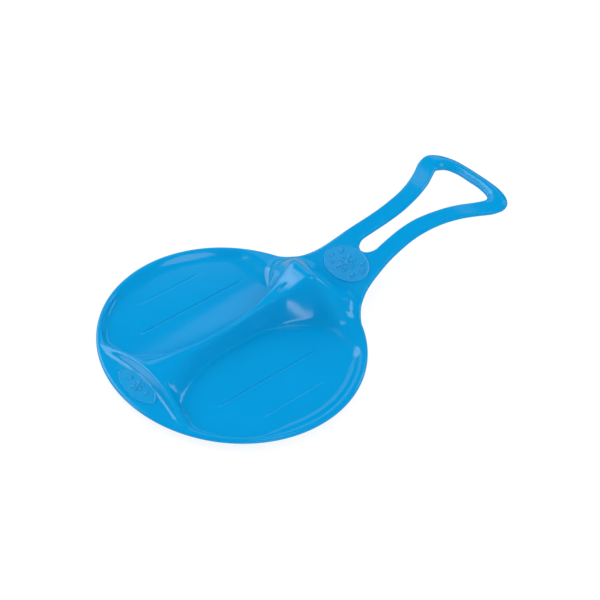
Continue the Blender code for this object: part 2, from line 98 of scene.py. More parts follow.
# the handle's right half: its neck as (y, half width), the grip's corner and the slot as (x, y) points,
# and its rise over the rim as (y, height)
handlePlan = {
    "neck": [(0.2961, 0.08366), (0.304, 0.0729), (0.316, 0.0606), (0.335, 0.0499), (0.362, 0.0434),
             (0.400, 0.0384), (0.430, 0.0372), (0.464, 0.0413), (0.490, 0.0493), (0.512, 0.0600),
             (0.530, 0.0712)],
    "corner": [(0.0712, 0.530), (0.0754, 0.5445), (0.0715, 0.5570), (0.0600, 0.5668),
               (0.0420, 0.5725), (0.0200, 0.5743), (0.0, 0.5745)],
    "slot": [(0.0132, 0.385), (0.0117, 0.402), (0.0106, 0.422), (0.0113, 0.444), (0.0148, 0.465),
             (0.0214, 0.489), (0.0298, 0.5105), (0.0388, 0.527), (0.0447, 0.540), (0.0400, 0.5520),
             (0.0215, 0.5570), (0.0, 0.5575)],
    "slotRear": 0.3680, "slotHalf": 0.0135,
    "slotArc": 0.9,              # the slot's rear arc takes this share of the way to its first point
    "rise": [(0.2961, 0.0), (0.304, 0.0018), (0.318, 0.0060), (0.370, 0.0260), (0.400, 0.0340),
             (0.442, 0.0413), (0.490, 0.0451), (0.530, 0.0462), (0.5745, 0.0510)],
    # between these two places the neck is a plane
    "plane": (0.318, 0.370), "planeSlope": 0.385, "planeMidY": 0.3425, "planeMidRise": 0.0154,
    # the grip bar's slot lip is deeper and its edges lie lower than its middle, eased in as (from y, over)
    "gripDrop": 0.0055, "dropSpan": (0.540, 0.014), "gripCrown": 0.0028, "crownSpan": (0.548, 0.020),
}
# points drawn along each part of the plan's lines
lineSteps = {"ellipse": 160, "neck": 140, "corner": 16, "slotArc": 16, "slot": 10}


def outlinePoints():
    turn = math.acos((halfSeat - sled["shoulderY"]) / halfSeat)
    angles = [turn * k / lineSteps["ellipse"] for k in range(lineSteps["ellipse"] + 1)]
    pts = [(halfWidth * math.sin(a), halfSeat - halfSeat * math.cos(a)) for a in angles]
    span = handlePlan["neck"][-1][0] - sled["shoulderY"]
    neckYs = [sled["shoulderY"] + span * k / lineSteps["neck"] for k in range(1, lineSteps["neck"] + 1)]
    pts += [(smoothAlong(handlePlan["neck"], y), y) for y in neckYs]
    return np.array(pts + throughPoints(handlePlan["corner"], lineSteps["corner"])[1:])


def slotPoints():
    rear, half = handlePlan["slotRear"], handlePlan["slotHalf"]
    reach = (handlePlan["slot"][0][1] - rear) * handlePlan["slotArc"]
    turn = [math.radians(90 * k / lineSteps["slotArc"]) for k in range(lineSteps["slotArc"])]
    pts = [(half * math.sin(a), rear + reach * (1 - math.cos(a))) for a in turn]
    return np.array(pts + throughPoints(handlePlan["slot"], lineSteps["slot"]))


def movedIn(line, amount):
    step = np.gradient(line, axis=0)
    step /= np.linalg.norm(step, axis=1)[:, None]
    out = line + np.stack([-step[:, 1], step[:, 0]], 1) * amount
    out[0, 0] = line[0, 0]
    out[-1, 0] = line[-1, 0]
    return out


def runAlong(line):
    return np.concatenate([[0], np.cumsum(np.linalg.norm(np.diff(line, axis=0), axis=1))])


def atShares(line, shares):
    run = runAlong(line)
    want = np.array(shares) * run[-1]
    return np.stack([np.interp(want, run, line[:, 0]), np.interp(want, run, line[:, 1])], 1)


outline = outlinePoints()
topEdge = movedIn(outline, sled["lipRadius"])
seatEdge = topEdge[outline[:, 1] <= sled["neckLine"] + sled["neckMargin"]]
slotEdge = slotPoints()
slotTop = movedIn(slotEdge, -sled["lipRadius"])
slotTop[-1, 1] = slotEdge[-1, 1] + sled["lipRadius"]

# heights of the seat over its rim, with changing measures written as for gaining()
relief = {
    # the hollows: floor under the rim, its rise to the ridge, the wall's width and how it rounds off
    "floor": 0.0062, "bowl": 0.0018, "bowlFade": [1.0, (-1.0, 0.010, 0.060)],
    "flange": 0.0015, "frontY": 0.275, "rearRound": 0.006, "frontRound": 0.012,
    "wallRun": [0.0065, (0.0055, 0.060, -0.030), (0.0105, 0.080, 0.050)], "wallRound": (0.30, 0.50),
    "foreRun": [0.0, (0.0105, 0.170, 0.060)], "foreFade": [1.0, (-1.0, 0.095, 0.030)],
    # the rear crest, and how it blends into what lies before it
    "crest": 0.0130, "crestY": 0.041, "crestEndY": 0.027, "crestHalf": 0.092,
    "crestBow": 1.2, "crestFall": 1.25,
    "crestBack": [1.0, (-1.0, 0.004, 0.014)], "crestBlend": [1.0, (-1.0, 0.0, 0.010)],
    # behind the crest the skirt first drops, then runs out gently
    "riser": 0.0095, "riserShare": 0.62, "riserRoom": 0.6, "riserRound": (0.35, 0.45),
    "skirtBow": 1.2, "leastRoom": 0.0001,
    # the ridge and the pommel at stations along the sled: height, half width of the top, of the foot
    "ridgeTop": [(0.041, 0.0130), (0.087, 0.0150), (0.130, 0.0148), (0.175, 0.0190), (0.213, 0.0262),
                 (0.240, 0.0336), (0.258, 0.0424), (0.266, 0.0461), (0.2695, 0.0468), (0.275, 0.0452),
                 (0.290, 0.0325), (0.304, 0.0170), (0.3172, 0.0052)],
    "ridgeHalf": [(0.041, 0.0060), (0.090, 0.0030), (0.130, 0.0010), (0.200, 0.0020), (0.225, 0.0070),
                  (0.245, 0.0105), (0.262, 0.0130), (0.280, 0.0170), (0.3172, 0.0240)],
    "ridgeFoot": [(0.041, 0.0640), (0.052, 0.0500), (0.072, 0.0355), (0.087, 0.0275), (0.121, 0.0175),
                  (0.159, 0.0155), (0.196, 0.0175), (0.227, 0.0285), (0.251, 0.0490), (0.268, 0.0750),
                  (0.284, 0.0850), (0.300, 0.0760), (0.3172, 0.0600)],
    "topSpread": 0.0022, "sideSpread": 0.005,
    # shares of the ridge's flank that its rounded top and its rounded foot take
    "topRound": [0.30, (0.35, 0.120, -0.050), (-0.12, 0.205, 0.030), (0.25, 0.266, 0.025)],
    "footRound": [0.20, (0.20, 0.245, 0.020)],
    # the keels under the hollows and the grooves over them, the inner pair's first
    "keelInnerX": 0.080, "keelOuterX": 0.126, "keelInner": (0.074, 0.238), "keelOuter": (0.106, 0.202),
    "keelFade": 0.014, "keelFoot": 0.0030, "keelTop": 0.0046,
    "grooveHalf": 0.0010, "grooveFlank": 0.0006, "grooveRound": (0.2, 0.5), "grooveDepth": (0.0011, 0.0006),
}
# the teardrop that the mould's gate leaves on the ridge, widest toward the front
gate = {"rear": 0.2285, "front": 0.2460, "half": 0.0023, "narrow": 0.35, "leastHalf": 0.0004,
        "depth": 0.0012, "flank": 0.0010}


def ramp(u, low, high):
    # from 0 to 1, straight in the middle and rounded over the shares low and high at its ends
    u = min(max(u, 0.0), 1.0)
    steep = 1 / (1 - (low + high) / 2)
    if u < low:
        return steep * u * u / (2 * low)
    if u < 1 - high:
        return steep * (u - low / 2)
    return 1 - steep * (1 - u) ** 2 / (2 * high)


def evened(stations, spread):
    # the stations' curve with its small waves evened out, as a table of places and values
    step, margin, reach = 0.0005, 4 * spread, 3 * spread
    fine = np.arange(stations[0][0] - margin, stations[-1][0] + margin, step)
    values = np.array([smoothAlong(stations, t) for t in fine])
    ends = np.diff([s[1] for s in stations]) / np.diff([s[0] for s in stations])
    before, after = np.minimum(fine - stations[0][0], 0), np.maximum(fine - stations[-1][0], 0)
    values += ends[0] * before + ends[-1] * after
    weights = np.exp(-0.5 * (np.arange(-reach, reach + step / 5, step) / spread) ** 2)
    return fine, np.convolve(values, weights / weights.sum(), mode="same")


ridgeTop = evened(relief["ridgeTop"], relief["topSpread"])
ridgeHalf, ridgeFoot = (evened(relief[k], relief["sideSpread"]) for k in ("ridgeHalf", "ridgeFoot"))


def along(table, y):
    return float(np.interp(y, table[0], table[1]))


def softMin(a, b, reach):
    return min(a, b) - max(reach - abs(a - b), 0.0) ** 2 / (4 * reach)


def edgeHalf(y):
    return float(np.interp(y, seatEdge[:, 1], seatEdge[:, 0]))


def crestLine(x):
    s = min(1.0, abs(x) / relief["crestHalf"])
    y = relief["crestEndY"] + (relief["crestY"] - relief["crestEndY"]) * (1 - s * s) ** relief["crestBow"]
    return y, relief["crest"] * (1 - s * s) ** relief["crestFall"]


def rearArc(x):
    rear = topEdge[topEdge[:, 1] < halfSeat]
    return float(np.interp(abs(x), rear[:, 0], rear[:, 1]))


def rimRoom(x, y):
    # distance from the seat's rolled edge, near enough for its relief
    inner = sled["lipRadius"]
    return (1 - math.hypot(x / (halfWidth - inner), (y - halfSeat) / (halfSeat - inner))) * (halfSeat - inner)


def ground(x, y, crestAt, crestUp):
    # the hollow's floor, and round it the flange, the crest and the flat shoulders beside the neck
    toCrest = y - crestAt
    inside = softMin(rimRoom(x, y) - relief["flange"], toCrest, relief["rearRound"])
    inside = softMin(inside, relief["frontY"] - y, relief["frontRound"])
    run = gaining(y, relief["wallRun"]) + gaining(y, relief["foreRun"]) * gaining(abs(x), relief["foreFade"])
    top = crestUp * gaining(toCrest, relief["crestBack"])
    floor = relief["floor"] - relief["bowl"] * gaining(abs(x), relief["bowlFade"])
    return top - (top + floor) * ramp(inside / run, *relief["wallRound"])


def seatHeight(x, y):
    crestAt, crestUp = crestLine(x)
    if y < crestAt:
        room = max(crestAt - rearArc(x), relief["leastRoom"])
        riser = ramp((crestAt - y) / min(relief["riser"], room * relief["riserRoom"]), *relief["riserRound"])
        runOut = (1 - min((crestAt - y) / room, 1.0)) ** relief["skirtBow"]
        return crestUp * (relief["riserShare"] * (1 - riser) + (1 - relief["riserShare"]) * runOut)
    z = ground(x, y, crestAt, crestUp) + neckRise(y)
    z += max(0.0, along(ridgeTop, y) - z) * ridgeShare(x, y)
    return z + (crestUp - z) * gaining(y - crestAt, relief["crestBlend"])


def ridgeShare(x, y):
    # 1 on top of the ridge, 0 at its foot
    top, foot = along(ridgeHalf, y), along(ridgeFoot, y)
    low, high = gaining(y, relief["topRound"]), gaining(y, relief["footRound"])
    return 1 - ramp((abs(x) - top) / (foot - top), low, high)


def neckRise(y):
    if handlePlan["plane"][0] <= y <= handlePlan["plane"][1]:
        return handlePlan["planeMidRise"] + handlePlan["planeSlope"] * (y - handlePlan["planeMidY"])
    return smoothAlong(handlePlan["rise"], y)


def topHeight(x, y):
    # the upper face over the rim, anywhere on seat, neck and rails
    if y < sled["shoulderY"]:
        return seatHeight(x, y)
    z = neckRise(y)
    if y < relief["ridgeTop"][-1][0]:
        z += max(0.0, along(ridgeTop, y) - z) * ridgeShare(x, y)
    return z


def nearestKeel(x, y):
    # whether it is the inner one, the distance from its line and the share of its full height along the sled
    innerKeel = abs(x) < (relief["keelInnerX"] + relief["keelOuterX"]) / 2
    line, span = ((relief["keelInnerX"], relief["keelInner"]) if innerKeel
                  else (relief["keelOuterX"], relief["keelOuter"]))
    return innerKeel, abs(abs(x) - line), ease(min(y - span[0], span[1] - y) / relief["keelFade"])


def keelShare(x, y):
    # 1 on a keel's flat sole, 0 beside it
    away, share = nearestKeel(x, y)[1:]
    return share * (1 - ease((away - relief["keelFoot"]) / (relief["keelTop"] - relief["keelFoot"])))


def gateDepth(x, y):
    t = min(max((y - gate["rear"]) / (gate["front"] - gate["rear"]), 0.0), 1.0)
    half = gate["half"] * (gate["narrow"] + (1 - gate["narrow"]) * t) * math.sqrt(1 - (2 * t - 1) ** 4)
    if half <= gate["leastHalf"]:
        return 0.0
    return gate["depth"] * (1 - ease((abs(x) - half + gate["flank"] / 2) / gate["flank"]))


def pressedHeight(x, y):
    # the upper face with what is pressed into it: the keel grooves and the gate's teardrop
    z = topHeight(x, y)
    innerKeel, away, share = nearestKeel(x, y)
    near = away / (relief["grooveHalf"] + relief["grooveFlank"])
    if share > 0 and near < 1:
        z -= relief["grooveDepth"][0 if innerKeel else 1] * share * (1 - ramp(near, *relief["grooveRound"]))
    return z - gateDepth(x, y)


def onlyThis(piece):
    bpy.ops.object.select_all(action="DESELECT")
    piece.select_set(True)
    bpy.context.view_layer.objects.active = piece


def addSheet(name, places):
    # a grid primitive whose points are then pulled to rows of places
    rows, columns = len(places), len(places[0])
    bpy.ops.object.select_all(action="DESELECT")
    bpy.ops.mesh.primitive_grid_add(x_subdivisions=columns - 1, y_subdivisions=rows - 1, size=1)
    piece = bpy.context.active_object
    piece.name = name
    for v in piece.data.vertices:
        c = round((v.co.x + 0.5) * (columns - 1))
        r = round((v.co.y + 0.5) * (rows - 1))
        v.co = places[r][c]
    return piece


def selectOpenEdges(mesh, wanted=None):
    # edges with one face only, on request just those whose first point is wanted
    bpy.ops.object.mode_set(mode="EDIT")
    bpy.ops.mesh.select_mode(type="EDGE")
    bpy.ops.mesh.select_all(action="DESELECT")
    bpy.ops.mesh.select_non_manifold(extend=False, use_wire=False, use_boundary=True,
                                     use_multi_face=False, use_non_contiguous=False, use_verts=False)
    if wanted:
        bpy.ops.object.mode_set(mode="OBJECT")
        for edge in mesh.edges:
            if edge.select and not wanted(mesh.vertices[edge.vertices[0]].co):
                edge.select = False
        bpy.ops.object.mode_set(mode="EDIT")


smoothAngle = 50                 # edges that bend less than this many degrees are shaded smooth


def closeBelow(piece, under, loops=(None,)):
    # the sheet's copy becomes its under face, and each pair of open edges is bridged
    mesh = piece.data
    count = len(mesh.vertices)
    onlyThis(piece)
    bpy.ops.object.mode_set(mode="EDIT")
    bpy.ops.mesh.select_mode(type="VERT")
    bpy.ops.mesh.select_all(action="SELECT")
    bpy.ops.mesh.duplicate()
    bpy.ops.mesh.flip_normals()
    bpy.ops.object.mode_set(mode="OBJECT")
    for i in range(count):
        low = mesh.vertices[count + i]
        low.co = under(i, low.co.copy())
    for wanted in loops:
        selectOpenEdges(mesh, wanted)
        bpy.ops.mesh.bridge_edge_loops()
    bpy.ops.mesh.select_all(action="SELECT")
    bpy.ops.mesh.normals_make_consistent(inside=False)
    bpy.ops.object.mode_set(mode="OBJECT")
    bpy.ops.object.shade_smooth()
    bpy.ops.object.shade_smooth_by_angle(angle=math.radians(smoothAngle))


# the seat's grid: rows across the sled at places along it, columns at half widths from its middle
seatGrid = {
    "rearRow": 0.074, "frontRow": 0.240,          # straight rows lie between these
    "rearCorner": 0.0150, "frontCorner": 0.2800,  # where the grid's corners sit on the edge
    "neckColumn": 0.0732,                         # this column runs to the neck's corner
    "footColumn": 0.0155, "footMost": 0.050,      # this one follows the ridge's foot, out to the second size
    "fullHalf": 0.151,                            # rear rows with less half width are squeezed
    "ridgeColumns": [0.0, 0.0005, 0.0011, 0.0018, 0.0026, 0.0035, 0.0045, 0.0056, 0.0068, 0.0080, 0.0092,
                     0.0104, 0.0116, 0.0127, 0.0137, 0.0146, 0.0155, 0.0164, 0.0175, 0.0190, 0.0210],
    "keelColumns": [-0.0046, -0.0036, -0.0029, -0.0022, -0.0015, -0.0009, 0.0,
                    0.0009, 0.0015, 0.0022, 0.0029, 0.0036, 0.0046],
    "keelMargin": 0.0056,                         # columns between the keels end this far from the outer one
    "flankColumns": 22, "sideColumns": 13, "edgeColumns": 20, "frontRows": 44,
    # places of the rear rows on the middle line
    "rearRows": [0.0] + [0.0055 + 0.0029 * k for k in range(10)]
    + [0.0345, 0.0355, 0.0363, 0.0370, 0.0377, 0.0384, 0.0391, 0.0397, 0.0403, 0.0407, 0.0410, 0.0414, 0.0419,
       0.0425, 0.0433, 0.0443, 0.0455, 0.0470, 0.0487, 0.0505, 0.0525, 0.0547, 0.0570, 0.0595, 0.0620, 0.0650,
       0.0680, 0.0710],
    # the straight rows' steps: wide between two places, fine from the pommel's rear on, close elsewhere
    "wideRows": (0.092, 0.190), "pommelRear": 0.205, "wideStep": 0.0030, "closeStep": 0.0020,
    "fineStep": 0.0014, "leastStep": 0.0005,
}


def spaced(low, high, count):
    return [low + (high - low) * k / count for k in range(1, count + 1)]


def seatColumns():
    # half widths of the columns, from the middle to beside the outer keel
    half = list(seatGrid["ridgeColumns"])
    half += spaced(half[-1], seatGrid["neckColumn"], seatGrid["flankColumns"])
    half += [relief["keelInnerX"] + s for s in seatGrid["keelColumns"]]
    half += spaced(half[-1], relief["keelOuterX"] - seatGrid["keelMargin"], seatGrid["sideColumns"])
    half += [relief["keelOuterX"] + s for s in seatGrid["keelColumns"]]
    return half


def footAt(y):
    return min(max(smoothAlong(relief["ridgeFoot"], y), seatGrid["footColumn"]), seatGrid["footMost"])


def onFoot(c, foot):
    # a column's half width where the foot's column stands at this half width
    column, least = seatGrid["neckColumn"], seatGrid["footColumn"]
    if c < least:
        return c * foot / least
    return foot + (c - least) * (column - foot) / (column - least) if c < column else c


def seatRow(columns, half, squeeze, yOf, mid):
    xs = [onFoot(c, footAt(mid)) * squeeze for c in columns]
    xs += spaced(xs[-1], half, seatGrid["edgeColumns"])
    xs = [-x for x in reversed(xs[1:])] + xs
    return [(x, yOf(x)) for x in xs]


def rearRows(columns):
    # the first row is the rear edge, the next ones turn from its bow to the bow of the crest
    mids, crestEnd = seatGrid["rearRows"], relief["crestEndY"]
    crestIndex = mids.index(relief["crestY"])
    low, high = seatGrid["rearCorner"], seatGrid["rearRow"]
    rows = []
    for k, mid in enumerate(mids):
        if k <= crestIndex:
            end = low + (crestEnd - low) * (k / crestIndex)
        else:
            end = crestEnd + (high - crestEnd) * (k - crestIndex) / (len(mids) - crestIndex)
        half = edgeHalf(end)

        def bowed(x):
            s = min(1.0, abs(x) / half)
            return end + (mid - end) * (1 - s * s) ** relief["crestBow"]

        squeeze = min(1.0, half / seatGrid["fullHalf"])
        rows.append(seatRow(columns, half, squeeze, bowed if k else rearArc, mid))
    return rows


def straightRows(columns):
    ys = [seatGrid["rearRow"]]
    while ys[-1] < seatGrid["frontRow"] - seatGrid["leastStep"]:
        y = ys[-1]
        if seatGrid["wideRows"][0] < y < seatGrid["wideRows"][1]:
            step = seatGrid["wideStep"]
        else:
            step = seatGrid["closeStep"] if y < seatGrid["pommelRear"] else seatGrid["fineStep"]
        ys.append(y + step)
    ys[-1] = seatGrid["frontRow"]
    return [seatRow(columns, edgeHalf(y), 1.0, lambda x: y, y) for y in ys]


def frontRows(columns):
    # these rows spread to the shoulders and the neck line
    first, corner, neck = seatGrid["frontRow"], seatGrid["frontCorner"], sled["neckLine"]
    startHalf, cornerHalf, neckHalf = edgeHalf(first), edgeHalf(corner), edgeHalf(neck)
    column = seatGrid["neckColumn"]
    front = topEdge[(topEdge[:, 1] > halfSeat) & (topEdge[:, 1] <= neck)][::-1]

    def frontEdge(x):
        return neck if abs(x) <= neckHalf + hair else float(np.interp(abs(x), front[:, 0], front[:, 1]))

    def finalX(c):
        if c <= column + hair:
            return c * neckHalf / column
        return neckHalf + (cornerHalf - neckHalf) * (c - column) / (startHalf - column)

    rows = []
    for k in range(1, seatGrid["frontRows"] + 1):
        r = k / seatGrid["frontRows"]
        foot = footAt(first + (neck - first) * r)
        toEdge = edgeHalf(first + (corner - first) * r) - (startHalf + (cornerHalf - startHalf) * r)
        line = []
        for c in columns + spaced(columns[-1], startHalf, seatGrid["edgeColumns"]):
            begun = onFoot(c, foot)
            x = begun + (finalX(begun) - begun) * r
            x += toEdge * max(0.0, (c - column) / (startHalf - column)) ** 2
            line.append((x, first + (frontEdge(finalX(c)) - first) * r))
        rows.append([(-x, y) for x, y in reversed(line[1:])] + line)
    return rows


# the handle's grid: rings from its outer edge to the slot's edge, tied to each other at places along both
ringGrid = {
    "rings": 20, "finer": 7,
    "firstStep": 0.0015,                          # the edge's points start this far from the neck line
    "gripY": 0.5,                                 # the grip is wider than the neck from here on
    "cutShare": 0.034,                            # share of the slot's line that faces the neck line
    "neckTies": [(0.335, 0.060), (0.353, 0.080), (0.371, 0.100)],   # y on the edge, share of the slot's line
    "railTies": [(0.390, 0.390), (0.422, 0.422), (0.464, 0.465), (0.500, 0.500), (0.528, 0.527)],  # y on both
    "gripTies": [(0.835, 0.800), (1.0, 1.0)],     # shares of both lines
    # the points' spacing changes at these places of the rails and shares of the edge round the grip
    "railKnots": [0.3165, 0.335, 0.3535, 0.371, 0.390, 0.411, 0.432, 0.4535, 0.474, 0.492, 0.5075, 0.522],
    "gripKnots": [0.0, 0.745, 0.780, 0.810, 0.842, 0.885, 0.957, 1.0],
    "neckBend": 0.10, "bendFade": [1.0, (-1.0, 0.325, 0.040)],
    "slotBox": (0.05, 0.36, 0.562), "slotNear": 0.005,   # half width and both ends of the slot's surroundings
}


def shareFinder(line, widest):
    # gives the share of a line's length at a y before its widest point
    run = runAlong(line)
    return lambda y: float(np.interp(y, line[:widest, 1], run[:widest])) / run[-1]


def onTrack(a, b, t):
    # tracks from the neck bend inward, so that no cell is pinched beside the neck's edge
    bend = ringGrid["neckBend"] * 4 * t * (1 - t) * gaining(a[1], ringGrid["bendFade"])
    return (a[0] + (b[0] - a[0]) * t) * (1 - bend), a[1] + (b[1] - a[1]) * t


def handlePlaces(cutXs):
    start = sled["neckLine"]
    first = edgeHalf(start)
    side = np.vstack([[first, start], topEdge[topEdge[:, 1] > start + ringGrid["firstStep"]]])
    sideAt = shareFinder(side, int(np.argmax(side[:, 0] * (side[:, 1] > ringGrid["gripY"]))))
    slotAt = shareFinder(slotTop, int(np.argmax(slotTop[:, 0])))
    ties = [(0.0, ringGrid["cutShare"])] + [(sideAt(y), share) for y, share in ringGrid["neckTies"]]
    ties += [(sideAt(y), slotAt(slotY)) for y, slotY in ringGrid["railTies"]] + ringGrid["gripTies"]
    knots = sorted([sideAt(y) for y in ringGrid["railKnots"]] + ringGrid["gripKnots"])
    count = ringGrid["finer"] * (len(knots) - 1) + 1
    fine = [float(np.interp(k / ringGrid["finer"], range(len(knots)), knots)) for k in range(count)]
    shares = [ringGrid["cutShare"] * x / first for x in cutXs[:-1]]
    shares += [float(np.interp(v, [t[0] for t in ties], [t[1] for t in ties])) for v in fine]
    outer = [(x, start) for x in cutXs[:-1]] + [tuple(p) for p in atShares(side, fine)]
    inner = [tuple(p) for p in atShares(slotTop, shares)]
    inner[0] = (0.0, inner[0][1])
    outer[-1] = (0.0, outer[-1][1])
    inner[-1] = (0.0, inner[-1][1])
    outer += [(-x, y) for x, y in reversed(outer[:-1])]
    inner += [(-x, y) for x, y in reversed(inner[:-1])]
    rings = ringGrid["rings"]
    return [[onTrack(a, b, k / rings) for a, b in zip(outer, inner)] for k in range(rings + 1)]


def barCrown(y, v):
    start, way = handlePlan["crownSpan"]
    return handlePlan["gripCrown"] * ease((y - start) / way) * (2 * v - 1) ** 2


def nearestEdge(line, points):
    # unit normals of a right-half line at the place nearest to each point, mirrored for points on the left
    a, b = line[:-1], line[1:]
    seg = b - a
    normals = np.gradient(line, axis=0)
    normals = np.stack([normals[:, 1], -normals[:, 0]], 1)
    normals /= np.linalg.norm(normals, axis=1)[:, None]
    normals[0, 0] = 0.0
    normals[-1, 0] = 0.0
    normals /= np.linalg.norm(normals, axis=1)[:, None]
    out = []
    for x, y in points:
        p = np.array([abs(x), y])
        t = np.clip(((p - a) * seg).sum(1) / (seg ** 2).sum(1), 0, 1)
        gap = np.linalg.norm(a + seg * t[:, None] - p, axis=1)
        k = int(np.argmin(gap))
        n = normals[k] * (1 - t[k]) + normals[k + 1] * t[k]
        n /= np.linalg.norm(n)
        out.append((math.copysign(1, x) * n[0] if abs(x) > hair else 0.0, n[1]))
    return out


def bySlot(x, y):
    # whether a point of a rolled edge belongs to the slot
    half, rear, front = ringGrid["slotBox"]
    return abs(x) < half and rear < y < front and \
        float(np.min(np.hypot(slotEdge[:, 0] - abs(x), slotEdge[:, 1] - y))) < ringGrid["slotNear"]


def upperFace():
    # the seat's grid and the handle's rings, welded along the neck line
    columns = seatColumns()
    seat = rearRows(columns) + straightRows(columns) + frontRows(columns)
    neckHalf = edgeHalf(sled["neckLine"])
    cutXs = [x for x, _ in seat[-1][len(seat[0]) // 2:] if x <= neckHalf + hair]
    piece = addSheet("seatGrid", [[(x, y - midY, pressedHeight(x, y) + rimZ) for x, y in row]
                                  for row in seat])
    rings = handlePlaces(cutXs)
    last = len(rings) - 1
    handle = addSheet("handleRing", [[(x, y - midY, topHeight(x, y) + rimZ - barCrown(edgeY, k / last))
                                      for (x, y), (_, edgeY) in zip(ring, rings[0])]
                                     for k, ring in enumerate(rings)])
    onlyThis(piece)
    handle.select_set(True)
    bpy.ops.object.join()
    piece.name = "sledMoulding"
    bpy.ops.object.mode_set(mode="EDIT")
    bpy.ops.mesh.select_all(action="SELECT")
    bpy.ops.mesh.remove_doubles(threshold=sled["weld"])
    bpy.ops.mesh.normals_make_consistent(inside=False)
    bpy.ops.mesh.select_all(action="DESELECT")
    bpy.ops.object.mode_set(mode="OBJECT")
    if piece.data.polygons[0].normal.z < 0:
        piece.data.flip_normals()
    return piece


def rollLips(mesh):
    # open edges are extruded ring by ring, out and down, and at last straight down
    radius, steps = sled["lipRadius"], sled["lipSteps"]
    dropStart, dropWay = handlePlan["dropSpan"]
    turns = [math.pi / 2 * k / steps for k in range(steps + 1)]
    profile = [(radius * math.sin(a), radius * (1 - math.cos(a))) for a in turns] + [(radius, None)]
    for (out0, drop0), (out1, drop1) in zip(profile, profile[1:]):
        selectOpenEdges(mesh)
        bpy.ops.mesh.extrude_edges_move()
        bpy.ops.object.mode_set(mode="OBJECT")
        fresh = [v for v in mesh.vertices if v.select]
        places = [(v.co.x, v.co.y + midY) for v in fresh]
        outNormals, slotNormals = nearestEdge(outline, places), nearestEdge(slotEdge, places)
        for v, (x, y), side, slotSide in zip(fresh, places, outNormals, slotNormals):
            full = sled["lipDrop"]
            if bySlot(x, y):
                full += (handlePlan["gripDrop"] - sled["lipDrop"]) * ease((y - dropStart) / dropWay)
                side = (-slotSide[0], -slotSide[1])
            v.co.x += side[0] * (out1 - out0)
            v.co.y += side[1] * (out1 - out0)
            v.co.z -= (full if drop1 is None else drop1) - drop0


def buildMoulding():
    piece = upperFace()
    mesh = piece.data
    faceCount = len(mesh.vertices)
    rollLips(mesh)
    normals = [v.normal.copy() for v in mesh.vertices]

    def under(i, place):
        # along the normal on the lips, straight down inside, down to the ground at the keels
        if i >= faceCount:
            return place - normals[i] * sled["wall"]
        low = max(place.z - sled["wall"] / max(normals[i].z, sled["leastUp"]), 0.0)
        return Vector((place.x, place.y, low * (1 - keelShare(place.x, place.y + midY))))

    closeBelow(piece, under, (lambda v: not bySlot(v.x, v.y + midY), lambda v: bySlot(v.x, v.y + midY)))
    print("moulding:", len(mesh.polygons), "faces")
    return piece


moulding = buildMoulding()
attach(moulding, "root")
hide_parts("seat_shell", "handle_loop")


# raised ovals: sizes in metres, a flake is (across, ahead, radius) from the oval's centre
frontOval = {
    "halfAcross": 0.0370, "halfAlong": 0.0225, "centreY": 0.3425, "flakeRise": 0.0010,
    "columns": 190, "rows": 126,
    "flakes": [(0.0, 0.0, 0.0135), (-0.0205, 0.0080, 0.0042), (-0.0255, -0.0035, 0.0032),
               (-0.0170, -0.0095, 0.0030), (0.0180, 0.0105, 0.0030), (0.0255, 0.0040, 0.0042),
               (0.0200, -0.0080, 0.0036)],
}
rearOval = {
    "halfAcross": 0.0350, "halfAlong": 0.0140, "centreY": 0.0210, "flakeRise": 0.0009,
    "columns": 180, "rows": 84,
    "flakes": [(0.0, 0.0, 0.0085), (-0.0165, 0.0010, 0.0034), (0.0165, 0.0010, 0.0034)],
}
ovalForm = {"rise": 0.0005, "sink": 0.0004, "border": 0.0014, "borderRise": 0.0005, "borderFlank": 0.0008,
            "round": 0.0008}
# a snow crystal in shares of its radius: arms, and on the large ones twigs as (place on the arm, length)
crystal = {"largeFrom": 0.006, "armEnd": 0.94, "largeHalf": 0.070, "smallHalf": 0.18, "outside": 1.1,
           "twigs": ((0.42, 0.26), (0.70, 0.20)), "twigLean": (0.5, 0.87), "flank": 0.0006}


def toSegment(x, y, x0, y0, x1, y1):
    t = ((x - x0) * (x1 - x0) + (y - y0) * (y1 - y0)) / ((x1 - x0) ** 2 + (y1 - y0) ** 2)
    t = min(max(t, 0.0), 1.0)
    return math.hypot(x - x0 - (x1 - x0) * t, y - y0 - (y1 - y0) * t)


def flakeShare(x, y, radius):
    # 1 on a six-armed snow crystal of this radius, 0 beside it
    reach = math.hypot(x, y)
    if reach > radius * crystal["outside"]:
        return 0.0
    turn = (math.atan2(y, x) + math.pi / 6) % (math.pi / 3) - math.pi / 6
    a, b = reach * math.cos(turn), abs(reach * math.sin(turn))
    near = toSegment(a, b, 0.0, 0.0, radius * crystal["armEnd"], 0.0)
    half = crystal["smallHalf"] * radius
    if radius > crystal["largeFrom"]:
        half = crystal["largeHalf"] * radius
        leanAlong, leanAside = crystal["twigLean"]
        for share, twig in crystal["twigs"]:
            foot, length = share * radius, twig * radius
            near = min(near, toSegment(a, b, foot, 0.0, foot + length * leanAlong, length * leanAside))
    return 1 - ease((near - half + crystal["flank"] / 2) / crystal["flank"])


def ovalLift(settings, x, forward):
    # height over the face that the oval lies on: plate, border, rounded rim and crystals
    reach = math.hypot(x / settings["halfAcross"], forward / settings["halfAlong"])
    inset = (1 - min(reach, 1.0)) * (settings["halfAlong"] + settings["halfAcross"]) / 2
    z = ovalForm["rise"]
    z += ovalForm["borderRise"] * (1 - ease((inset - ovalForm["border"]) / ovalForm["borderFlank"]))
    z -= ovalForm["round"] * max(0.0, 1 - inset / ovalForm["round"]) ** 2
    flake = max(flakeShare(x - across, forward - ahead, size) for across, ahead, size in settings["flakes"])
    return z + settings["flakeRise"] * flake


